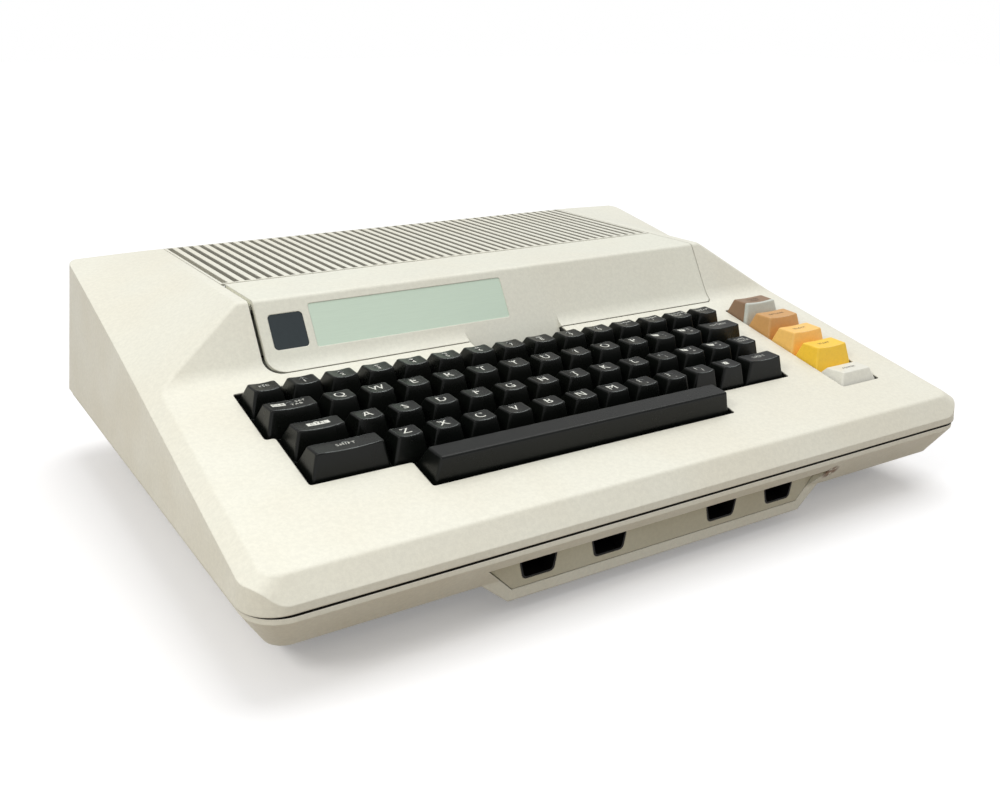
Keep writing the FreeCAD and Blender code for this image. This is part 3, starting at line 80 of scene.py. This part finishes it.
class Tree:
    """A material's node tree, with short calls for the nodes that this script uses."""

    def __init__(self, name):
        self.material = bpy.data.materials.new(name)
        self.material.use_nodes = True
        self.nodes = self.material.node_tree.nodes
        self.links = self.material.node_tree.links
        self.nodes.clear()
        self.output = self.nodes.new("ShaderNodeOutputMaterial")
        self.place = self.nodes.new("ShaderNodeTexCoord").outputs["Object"]

    def put(self, socket, value):
        if isinstance(value, bpy.types.NodeSocket):
            self.links.new(value, socket)
        else:
            socket.default_value = value

    def noise(self, scale, detail=2, rough=0.5, stretch=None):
        """Clouds of this many to the metre, drawn out along the axes with a small stretch."""
        node = self.nodes.new("ShaderNodeTexNoise")
        place = self.place
        if stretch:
            mapping = self.nodes.new("ShaderNodeMapping")
            self.links.new(self.place, mapping.inputs["Vector"])
            mapping.inputs["Scale"].default_value = stretch
            place = mapping.outputs["Vector"]
        self.links.new(place, node.inputs["Vector"])
        node.inputs["Scale"].default_value = scale
        node.inputs["Detail"].default_value = detail
        node.inputs["Roughness"].default_value = rough
        return node.outputs["Fac"]

    def ramp(self, value, low, high, start=0.0, end=1.0):
        """A smooth step from start to end, while the value goes from low to high."""
        node = self.nodes.new("ShaderNodeMapRange")
        node.interpolation_type = "SMOOTHSTEP"
        self.links.new(value, node.inputs["Value"])
        node.inputs["From Min"].default_value = low
        node.inputs["From Max"].default_value = high
        node.inputs["To Min"].default_value = start
        node.inputs["To Max"].default_value = end
        return node.outputs["Result"]

    def mix(self, factor, first, second, blend="MIX"):
        node = self.nodes.new("ShaderNodeMix")
        node.data_type = "RGBA"
        node.blend_type = blend
        self.put(node.inputs["Factor"], factor)
        self.put(node.inputs["A"], first)
        self.put(node.inputs["B"], second)
        return node.outputs["Result"]

    def sums(self, operation, first, second):
        node = self.nodes.new("ShaderNodeMath")
        node.operation = operation
        self.put(node.inputs[0], first)
        self.put(node.inputs[1], second)
        return node.outputs[0]

    def bump(self, height, strength, distance, normal=None):
        node = self.nodes.new("ShaderNodeBump")
        node.inputs["Strength"].default_value = strength
        node.inputs["Distance"].default_value = distance
        self.links.new(height, node.inputs["Height"])
        if normal is not None:
            self.links.new(normal, node.inputs["Normal"])
        return node.outputs["Normal"]

    def edges(self, radius, low, high):
        """How near a sharp edge a point is, and the normal of the edge made round."""
        bevel = self.nodes.new("ShaderNodeBevel")
        bevel.samples = BEVEL_SAMPLES
        bevel.inputs["Radius"].default_value = radius
        geometry = self.nodes.new("ShaderNodeNewGeometry")
        dot = self.nodes.new("ShaderNodeVectorMath")
        dot.operation = "DOT_PRODUCT"
        self.links.new(bevel.outputs["Normal"], dot.inputs[0])
        self.links.new(geometry.outputs["Normal"], dot.inputs[1])
        turn = self.sums("SUBTRACT", 1.0, dot.outputs["Value"])
        return self.ramp(turn, low, high), bevel.outputs["Normal"]

    def axes(self):
        node = self.nodes.new("ShaderNodeSeparateXYZ")
        self.links.new(self.place, node.inputs["Vector"])
        return node.outputs

    def along(self, direction):
        """How far a point lies along a direction."""
        node = self.nodes.new("ShaderNodeVectorMath")
        node.operation = "DOT_PRODUCT"
        self.links.new(self.place, node.inputs[0])
        node.inputs[1].default_value = direction
        return node.outputs["Value"]

    def far(self, place):
        """How far a point is from a place."""
        node = self.nodes.new("ShaderNodeVectorMath")
        node.operation = "DISTANCE"
        self.links.new(self.place, node.inputs[0])
        node.inputs[1].default_value = place
        return node.outputs["Value"]

    def between(self, value, low, high):
        """1 inside a range and 0 outside it."""
        above = self.sums("GREATER_THAN", value, low)
        below = self.sums("LESS_THAN", value, high)
        return self.sums("MULTIPLY", above, below)

    def finish(self, **inputs):
        """Ends the tree with one surface shader, and gives back the material."""
        shader = self.nodes.new("ShaderNodeBsdfPrincipled")
        for key, value in inputs.items():
            self.put(shader.inputs[key.replace("_", " ")], value)
        self.links.new(shader.outputs["BSDF"], self.output.inputs["Surface"])
        return self.material


BEVEL_SAMPLES = 6
EDGE_RADIUS = 0.0008
EDGE_TURN = (0.02, 0.25)
CASE_GRAIN = 0.00005
GRAIN_SCALE = 1500
SMUDGE = 0.07
WAVINESS = 0.0002


def moulded(
    name, colour, tint, rough, grain=CASE_GRAIN, grain_scale=GRAIN_SCALE, sheen=0.5, edge_wear_and_painted_light=None, shade=None
):
    """Moulded plastic: a fine grain, a slow drift of colour, smudges, an edge colour (rubbed edges on the
    case, painted highlights on the keys, a painted shadow line on the port panel) and optional painted
    shade.
    """
    tree = Tree(name)
    drift = tree.ramp(tree.noise(9, 3, 0.6), 0.35, 0.68)
    colours = tree.mix(drift, linear(colour), linear(tint))
    speck = tree.ramp(tree.noise(520, 3, 0.7), 0.3, 0.72, 0.955, 1.03)
    colours = tree.mix(1.0, colours, speck, "MULTIPLY")
    rounded = None
    if edge_wear_and_painted_light:
        edge, rounded = tree.edges(EDGE_RADIUS, *EDGE_TURN)
        # Edge colour: rubbed edges on the case, painted highlights on the keys, a painted shadow line on
        # the port panel.
        edge_wear_and_light_mask = tree.sums("MULTIPLY", edge, tree.ramp(tree.noise(90, 3), 0.25, 0.5, 0.3, 1.0))
        colours = tree.mix(edge_wear_and_light_mask, colours, linear(edge_wear_and_painted_light))
    if shade:
        colours = shade(tree, colours)
    smudge = tree.ramp(tree.noise(35, 4, 0.6), 0.3, 0.7, rough - SMUDGE, rough + SMUDGE)
    pebble = tree.bump(tree.noise(grain_scale, 2, 0.5), 0.55, grain, rounded)
    normal = tree.bump(tree.noise(60, 2, 0.5), 0.12, WAVINESS, pebble)
    return tree.finish(Base_Color=colours, Roughness=smudge, Specular_IOR_Level=sheen, Normal=normal)


def case_painted_shade_and_stain(tree, colours):
    """Painted shade in the key openings and in the groove between the halves, and a stain at the front."""
    left, right, near, far = OPENINGS
    shallow, deep, lowest = OPENING_DEPTHS
    x, y, z = tree.axes()
    # Painted shade: the walls of the key openings darken with depth below the deck.
    depth = tree.sums("SUBTRACT", DECK_LEVEL, tree.along(DECK_NORMAL))
    inside = tree.sums("MULTIPLY", tree.between(x, left, right), tree.between(y, near, far))
    inside = tree.sums("MULTIPLY", inside, tree.between(depth, shallow, lowest))
    dark = tree.sums("MULTIPLY", inside, tree.ramp(depth, shallow, deep, 0.75, 1.0))
    colours = tree.mix(dark, colours, linear(OPENING_PAINTED_SHADE))
    # Painted shade: the groove between the halves is dark all round.
    colours = tree.mix(tree.between(z, *GROOVE), colours, linear(GROOVE_PAINTED_SHADE))
    close = tree.ramp(tree.far(STAIN), *STAIN_REACH)
    stain = tree.sums("MULTIPLY", close, tree.ramp(tree.noise(300), 0.35, 0.5))
    return tree.mix(stain, colours, linear(STAIN_COLOUR))


def lid_shade(tree, colours):
    """Painted shade: the louvres are darker inside than the ribs between them."""
    _, y, z = tree.axes()
    inside = tree.sums("MULTIPLY", tree.between(z, *LOUVRES), tree.sums("LESS_THAN", y, LID_REAR))
    return tree.mix(inside, colours, linear(LOUVRE_PAINTED_SHADE))


METAL_DIM = 0.85
METAL_LINES = 0.00004


def metal(name, colour, rough, stretch):
    """Metal with fine brushed or rolled lines."""
    tree = Tree(name)
    lines = tree.noise(400, 3, 0.6, stretch)
    dimmed = linear([value * METAL_DIM for value in colour])
    colours = tree.mix(tree.ramp(lines, 0.3, 0.7), linear(colour), dimmed)
    spots = tree.ramp(tree.noise(60, 3, 0.6), 0.3, 0.7, rough - 0.08, rough + 0.1)
    normal = tree.bump(lines, 0.25, METAL_LINES)
    return tree.finish(Base_Color=colours, Metallic=1.0, Roughness=spots, Normal=normal)


CAP_GRAIN = 0.00002
CAP_GRAIN_SCALE = 1900


def cap(name, colour, tint, edge_wear_and_painted_light, rough=0.4, sheen=0.5):
    """The smoother plastic of the keys and the lamp."""
    return moulded(name, colour, tint, rough, CAP_GRAIN, CAP_GRAIN_SCALE, sheen, edge_wear_and_painted_light)


CASE_COLOUR = (229, 228, 215)
CASE_TINT = (227, 224, 209)
CASE_WEAR = (234, 232, 220)
finishes = {
    "case": moulded("case_plastic", CASE_COLOUR, CASE_TINT, 0.55, edge_wear_and_painted_light=CASE_WEAR, shade=case_painted_shade_and_stain),
    "lid": moulded("lid_plastic", CASE_COLOUR, CASE_TINT, 0.55, edge_wear_and_painted_light=CASE_WEAR, shade=lid_shade),
    "door": moulded("door_plastic", (227, 227, 214), (225, 223, 209), 0.55, edge_wear_and_painted_light=CASE_WEAR),
    "badge": moulded("badge_gloss", (44, 54, 58), (40, 48, 52), 0.22, 0.000008, edge_wear_and_painted_light=(110, 120, 124)),
    # Painted highlight: the pale edge colour of the black keys stands for glints on their rounded front
    # left edges, partly rubbing.
    "keys": cap("key_plastic", (12, 14, 11), (9, 12, 10), (196, 204, 202), 0.3, 0.25),
    "reset_brown": cap("brown_plastic", (146, 116, 88), (138, 108, 82), (176, 150, 124)),
    "reset_front": cap("grey_plastic", (205, 209, 200), (198, 202, 192), (228, 230, 222), 0.42),
    # Painted highlight: the pale edge colours of the console keys stand for glints on their edges, partly
    # rubbing.
    "console_orange": cap("orange_plastic", (214, 164, 100), (208, 157, 95), (250, 226, 200)),
    "console_amber": cap("amber_plastic", (255, 208, 116), (255, 203, 110), (255, 236, 200)),
    "console_yellow": cap("yellow_plastic", (255, 215, 66), (255, 208, 60), (255, 242, 180)),
    "lamp": cap("lamp_plastic", (238, 237, 226), (233, 232, 221), (252, 253, 250), 0.36),
    # Painted shade: the dark brown edge colour of the port panel stands for the shadow line along its seam
    # with the lower case.
    "panel": moulded("panel_plastic", (200, 197, 177), (194, 189, 168), 0.6, edge_wear_and_painted_light=(92, 78, 54)),
    "port_shell": moulded("port_plastic", (12, 11, 10), (16, 14, 12), 0.5, 0.00003, 1500, 0.2),
    "dark_plastic": moulded("dark_plastic", (30, 30, 30), (38, 37, 35), 0.5, 0.00004),
    "white_plastic": moulded("white_plastic", (228, 228, 222), (220, 219, 210), 0.5, 0.00004),
    "board": moulded("board_lacquer", (30, 92, 52), (24, 80, 46), 0.35, 0.00002, 700),
    "capacitor": moulded("capacitor_sleeve", (36, 60, 120), (32, 52, 108), 0.3, 0.00001),
    "rubber": moulded("rubber", (34, 33, 32), (44, 42, 40), 0.8, 0.00005, 1100, 0.3),
    "cast_metal": metal("cast_metal", (176, 176, 174), 0.55, (1, 1, 1)),
    "aluminium": metal("aluminium", (196, 197, 198), 0.4, (1, 12, 1)),
    "steel": metal("steel", (182, 182, 180), 0.35, (8, 1, 1)),
}


def plate_finish():
    """The pale green name plate: satin metal film with a faint lengthwise brush."""
    tree = Tree("name_plate_film")
    lines = tree.noise(500, 3, 0.6, (0.15, 9, 9))
    colours = tree.mix(tree.ramp(lines, 0.3, 0.7), linear((212, 230, 213)), linear((208, 226, 209)))
    normal = tree.bump(lines, 0.05, 0.00001)
    return tree.finish(Base_Color=colours, Metallic=0.2, Roughness=0.42, Normal=normal)


finishes["nameplate"] = plate_finish()
slot_of = {row["node"]: row["material_slot"] for row in frame["record"]["subparts"]}
for name, node in nodes.items():
    node.data.materials.clear()
    node.data.materials.append(finishes["lid" if name == "vent_lid" else slot_of[name]])


# Legends, laid on the surface that carries them
def ink(name, colour):
    """Printing ink, a little uneven."""
    tree = Tree(name)
    wornout = tree.ramp(tree.noise(700, 3, 0.6), 0.3, 0.7, 0.86, 1.0)
    colours = tree.mix(1.0, linear(colour), wornout, "MULTIPLY")
    return tree.finish(Base_Color=colours, Roughness=0.6, Normal=tree.bump(tree.noise(1500), 0.2, 0.00003))


INKS = {
    "white": ink("legend_white", (226, 227, 218)),
    "dark": ink("legend_dark", (52, 46, 44)),
    "brown": ink("legend_brown", (140, 108, 70)),
    "key": ink("legend_reverse", (40, 40, 38)),
}
LETTER_SPACING = 1.25
CAPITAL_SHARE = 0.7
CURVE_STEPS = 3
BAR_STEP = 0.0012


def text_mesh(words, height):
    """The triangles of some words, centred on the origin, with capitals of this height."""
    curve = bpy.data.curves.new("words", "FONT")
    curve.body = words
    curve.size = height / CAPITAL_SHARE
    curve.align_x = "CENTER"
    curve.align_y = "CENTER"
    curve.space_character = LETTER_SPACING if len(words) > 1 else 1
    curve.resolution_u = CURVE_STEPS
    holder = bpy.data.objects.new("words", curve)
    bpy.context.scene.collection.objects.link(holder)
    graph = bpy.context.evaluated_depsgraph_get()
    mesh = bpy.data.meshes.new_from_object(holder.evaluated_get(graph))
    bpy.data.objects.remove(holder)
    bpy.data.curves.remove(curve)
    return mesh


def bar_mesh(width, height):
    """A flat bar, centred on the origin and cut into short lengths."""
    mesh = bpy.data.meshes.new("bar")
    form = bmesh.new()
    columns = max(2, int(width / BAR_STEP))
    grid = []
    for index in range(columns + 1):
        x = -width / 2 + width * index / columns
        grid.append((form.verts.new((x, -height / 2, 0)), form.verts.new((x, height / 2, 0))))
    for first, second in zip(grid, grid[1:]):
        form.faces.new((first[0], second[0], second[1], first[1]))
    form.to_mesh(mesh)
    form.free()
    return mesh


NUDGES = ((0, 0), (0.00003, 0.00001), (-0.00001, 0.00003), (-0.00003, -0.00002))
TOUCH_START = 0.006
TOUCH_REACH = 0.02
FINE_EDGE = 0.0007
REFINE_ROUNDS = 4
WELD = 0.00001
CROWN = 0.0022


def refine(form):
    """Splits the long edges of a legend, so that it follows the curve below it."""
    for _ in range(REFINE_ROUNDS):
        long_edges = [edge for edge in form.edges if edge.calc_length() > FINE_EDGE]
        if not long_edges:
            return
        bmesh.ops.subdivide_edges(form, edges=long_edges, cuts=1)
        bmesh.ops.triangulate(form, faces=form.faces)


def touch(tree, place, out):
    """How far along the outward direction the surface lies from a place."""
    found = tree.ray_cast(place + out * TOUCH_START, -out, TOUCH_REACH)
    return TOUCH_START - found[3] if found[0] else -TOUCH_REACH


class Sheet:
    """Legends of one body and ink, gathered into one mesh."""

    def __init__(self, name, body, slot, colour):
        self.form = bmesh.new()
        self.name, self.body, self.slot, self.colour = name, body, slot, colour

    def add(self, mesh, tree, centre, across, up, lift):
        """Lays a flat mesh on the surface round a place, and uses the mesh up."""
        out = across.cross(up).normalized()
        piece = bmesh.new()
        piece.from_mesh(mesh)
        refine(piece)
        for vertex in piece.verts:
            place = centre + across * vertex.co.x + up * vertex.co.y
            height = max(touch(tree, place + across * side + up * above, out) for side, above in NUDGES)
            vertex.co = place + out * (height + lift)
        piece.to_mesh(mesh)
        piece.free()
        self.form.from_mesh(mesh)
        bpy.data.meshes.remove(mesh)

    def close(self):
        """Makes the piece, on its body and with its ink."""
        mesh = bpy.data.meshes.new(self.name)
        self.form.to_mesh(mesh)
        self.form.free()
        mesh.materials.append(INKS[self.colour])
        piece = bpy.data.objects.new(self.name, mesh)
        bpy.context.scene.collection.objects.link(piece)
        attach(piece, self.body)


def islands(node):
    """The separate solids of a node, each as its points, in order from left to right."""
    form = bmesh.new()
    form.from_mesh(nodes[node].data)
    bmesh.ops.remove_doubles(form, verts=form.verts, dist=WELD)
    seen = set()
    found = []
    for vertex in form.verts:
        if vertex in seen:
            continue
        group = []
        stack = [vertex]
        seen.add(vertex)
        while stack:
            here = stack.pop()
            group.append(here.co.copy())
            for edge in here.link_edges:
                other = edge.other_vert(here)
                if other not in seen:
                    seen.add(other)
                    stack.append(other)
        found.append(group)
    form.free()
    return sorted(found, key=lambda points: min(point.x for point in points))


def top_centre(points):
    """The middle of a key's top, from its highest points."""
    heights = [point.dot(DECK_NORMAL) for point in points]
    crown = [point for point, height in zip(points, heights) if height > max(heights) - CROWN]
    low = min(point.x for point in crown)
    high = max(point.x for point in crown)
    near = min(point.dot(DECK_UP) for point in crown)
    far = max(point.dot(DECK_UP) for point in crown)
    return ACROSS * ((low + high) / 2) + DECK_UP * ((near + far) / 2) + DECK_NORMAL * max(heights)


def surface(node):
    """A node's surface, ready for rays."""
    form = bmesh.new()
    form.from_mesh(nodes[node].data)
    tree = BVHTree.FromBMesh(form)
    form.free()
    return tree


# Heights in millimetres, and the lift of the ink above the plastic
LETTER = 5.0
SIGN = 3.0
UPPER_SIGN = 2.3
BOX_SIGN = 2.2
WORD = 1.85
SHIFT_WORD = 2.1
RESET_WORD = 1.6
CONSOLE_WORD = 1.8
PANEL_WORD = 1.7
BOX_HEIGHT = 3.1
LIFT = 0.1 * MM


# Each mark has its words, its height and its place to the right of and above the key's middle, in
# millimetres. A box has its width, its place and the words inside it.
def letters(word):
    """One large letter on each key."""
    return [[(letter, LETTER, 0, 0.3)] for letter in word]


def pair(upper, lower):
    """The two signs of a key, one above the other."""
    return [(upper, UPPER_SIGN, 0, 2.3), (lower, SIGN, 0, -1.2)]


def slanted(upper, lower):
    """The two signs of a key, from its upper left to its lower right."""
    return [(upper, SIGN, -1.4, 1.7), (lower, SIGN, 1.2, -1.2)]


def boxed(arrow, upper, lower):
    """A key with a small white box at its left and two signs at its right."""
    return [("box", 4.2, -2.8, 1.7, arrow), (upper, BOX_SIGN, 2.4, 2.2), (lower, BOX_SIGN, 2.2, -1.4)]


def stacked(upper, lower):
    """Two small words, one above the other."""
    return [(upper, WORD, 0, 1.9), (lower, WORD, 0, -0.8)]


ROW = [pair(*signs) for signs in ("!1", "\"2", "#3", "$4", "%5", "&6", "'7", "@8", "(9", ")0")]
LEGENDS = {
    "keys_number_row": ROW + [stacked("CLEAR", "<"), stacked("INSERT", ">")],
    "keys_upper_row": letters("QWERTYUIOP") + [boxed("^", "_", "-"), boxed("v", "|", "=")],
    "keys_home_row": letters("ASDFGHJKL")
    + [slanted(":", ";"), boxed("<", "/", "+"), boxed(">", "^", "*")],
    "keys_lower_row": letters("ZXCVBNM")
    + [slanted("[", ","), slanted("]", "."), slanted("?", "/"), [("box", 3.0, 0, 0.9, "/")]],
    "key_escape": [[("ESC", WORD, 0, 0.9)]],
    "key_backspace": [stacked("DELETE", "BACK S")],
    "key_break": [[("BREAK", WORD, 0, 0.9)]],
    "key_tab": [[("box", 6.4, -5.4, 1.0, "CLR"), ("SET", WORD, 5.2, 1.9), ("TAB", WORD, 2.6, -0.9)]],
    "key_return": [[("RETURN", WORD, 0, 0.9)]],
    "key_control": [[("box", 10.4, 0.5, 0.6, "CTRL")]],
    "key_caps": [stacked("CAPS", "LOWR")],
    "key_shift_left": [[("SHIFT", SHIFT_WORD, 0, 0.4)]],
    "key_shift_right": [[("SHIFT", SHIFT_WORD, 0, 0.4)]],
}
for node, keys in LEGENDS.items():
    body = "body_" + node
    tree = surface(node)
    light = Sheet(node + "_legend", body, "keys", "white")
    has_box = any(mark[0] == "box" for marks in keys for mark in marks)
    reverse = Sheet(node + "_reverse", body, "keys", "key") if has_box else None
    for marks, points in zip(keys, islands(node)):
        centre = top_centre(points)
        for mark in marks:
            if mark[0] == "box":
                word, wide, right, up, inner = mark
                place = centre + (ACROSS * right + DECK_UP * up) * MM
                light.add(bar_mesh(wide * MM, BOX_HEIGHT * MM), tree, place, ACROSS, DECK_UP, LIFT)
                reverse.add(text_mesh(inner, WORD * MM), tree, place, ACROSS, DECK_UP, LIFT * 1.5)
                continue
            word, height, right, up = mark
            place = centre + (ACROSS * right + DECK_UP * up) * MM
            light.add(text_mesh(word, height * MM), tree, place, ACROSS, DECK_UP, LIFT)
    light.close()
    if reverse:
        reverse.close()

CONSOLE = {
    "reset_key": ("reset", [("SYSTEM", RESET_WORD, 0, 1.2), ("RESET", RESET_WORD, 0, -1.4)]),
    "console_key_orange": ("body_console_key_orange", [("OPTION", CONSOLE_WORD, 0, 0.9)]),
    "console_key_amber": ("body_console_key_amber", [("SELECT", CONSOLE_WORD, 0, 0.9)]),
    "console_key_yellow": ("body_console_key_yellow", [("START", CONSOLE_WORD, 0, 0.9)]),
    "power_lamp": ("case", [("POWER", PANEL_WORD, 0, 0.4)]),
}
for node, (body, marks) in CONSOLE.items():
    sheet = Sheet(node + "_legend", body, slot_of[node], "dark")
    tree = surface(node)
    centre = top_centre(islands(node)[0])
    for word, height, right, up in marks:
        place = centre + (ACROSS * right + DECK_UP * up) * MM
        sheet.add(text_mesh(word, height * MM), tree, place, ACROSS, DECK_UP, LIFT)
    sheet.close()

words = Sheet("port_panel_words", "case", "panel", "brown")
flat_words = text_mesh("CONTROLLER  JACKS", PANEL_WORD * MM)
words.add(flat_words, surface("port_panel"), PANEL_WORDS, ACROSS, Vector((0, 0, 1)), LIFT / 2)
words.close()


# Floor and lights
FLOOR_HALF = 6
FLOOR_SHADE = (0.31, 0.26, 0.2, 1)
FLOOR_SEEN = (0.82, 0.82, 0.835, 1)
FLOOR_GLOW = 0.22
WHITE = (1, 1, 1, 1)
WORLD_LIGHT = 0.6
WORLD_SEEN = 1.0


def backdrop_rays(tree):
    """1 for rays that should meet a white backdrop: from the camera, a gloss or a clear body."""
    path = tree.nodes.new("ShaderNodeLightPath")
    seen = tree.sums("MAXIMUM", path.outputs["Is Transmission Ray"], path.outputs["Is Glossy Ray"])
    return tree.sums("MAXIMUM", seen, path.outputs["Is Camera Ray"])


def floor():
    """A wide plain floor, pale to the eye and darker to the light that it sends back."""
    form = bmesh.new()
    for x, y in ((-1, -1), (1, -1), (1, 1), (-1, 1)):
        form.verts.new((x * FLOOR_HALF, y * FLOOR_HALF, 0))
    form.faces.new(form.verts)
    mesh = bpy.data.meshes.new("floor")
    form.to_mesh(mesh)
    form.free()
    tree = Tree("floor_paper")
    seen = backdrop_rays(tree)
    colours = tree.mix(seen, FLOOR_SHADE, FLOOR_SEEN)
    glow = tree.sums("MULTIPLY", seen, FLOOR_GLOW)
    paper = tree.finish(
        Base_Color=colours,
        Roughness=0.9,
        Specular_IOR_Level=0.0,
        Emission_Color=WHITE,
        Emission_Strength=glow,
    )
    mesh.materials.append(paper)
    piece = bpy.data.objects.new("floor", mesh)
    bpy.context.scene.collection.objects.link(piece)


def world():
    """Even light from all round, and plain white where the camera looks past the floor."""
    studio = bpy.data.worlds.new("studio")
    bpy.context.scene.world = studio
    studio.use_nodes = True
    made = studio.node_tree.nodes
    links = studio.node_tree.links
    made.clear()
    choice = made.new("ShaderNodeMixShader")
    path = made.new("ShaderNodeLightPath")
    links.new(path.outputs["Is Camera Ray"], choice.inputs["Fac"])
    for place, strength in ((1, WORLD_LIGHT), (2, WORLD_SEEN)):
        light = made.new("ShaderNodeBackground")
        light.inputs["Color"].default_value = WHITE
        light.inputs["Strength"].default_value = strength
        links.new(light.outputs["Background"], choice.inputs[place])
    links.new(choice.outputs["Shader"], made.new("ShaderNodeOutputWorld").inputs["Surface"])


def sun(name, direction, strength, spread, colour):
    """A broad far light from a direction, its spread in degrees."""
    lamp = bpy.data.lights.new(name, "SUN")
    lamp.energy = strength
    lamp.angle = math.radians(spread)
    lamp.color = colour
    holder = bpy.data.objects.new(name, lamp)
    holder.rotation_euler = Vector(direction).to_track_quat("Z", "Y").to_euler()
    bpy.context.scene.collection.objects.link(holder)


def panel_light(name, place, aim, size, strength, colour):
    """A flat lamp at a place, turned to what it aims at."""
    lamp = bpy.data.lights.new(name, "AREA")
    lamp.shape = "RECTANGLE"
    lamp.size, lamp.size_y = size
    lamp.energy = strength
    lamp.color = colour
    holder = bpy.data.objects.new(name, lamp)
    holder.location = place
    holder.rotation_euler = (Vector(place) - Vector(aim)).to_track_quat("Z", "Y").to_euler()
    bpy.context.scene.collection.objects.link(holder)


floor()
world()
sun("key_light", (0.35, 0.18, 1.0), 1.4, 50, (1.0, 1.0, 0.99))
panel_light("left_fill", (-0.78, -0.36, 0.68), (0, 0, 0.05), (0.26, 0.26), 2.8, (1.0, 0.975, 0.92))

# Camera, fitted to the photograph; place and directions in metres in the part's frame
camera = bpy.data.cameras.new("camera")
camera.sensor_width = 36
camera.lens = 38.314
camera.shift_y = -0.01064
camera.clip_start = 0.01
camera.clip_end = 50
holder = bpy.data.objects.new("camera", camera)
eye = Vector((-0.30885, -0.48161, 0.24421))
right = Vector((0.84485, -0.53491, 0.00976))
down = Vector((-0.16906, -0.28423, -0.94373))
forward = Vector((0.50759, 0.79566, -0.33056))
holder.matrix_world = Matrix((
    (right.x, -down.x, -forward.x, eye.x),
    (right.y, -down.y, -forward.y, eye.y),
    (right.z, -down.z, -forward.z, eye.z),
    (0, 0, 0, 1),
))
bpy.context.scene.collection.objects.link(holder)
bpy.context.scene.camera = holder
bpy.context.scene.view_settings.view_transform = "Standard"
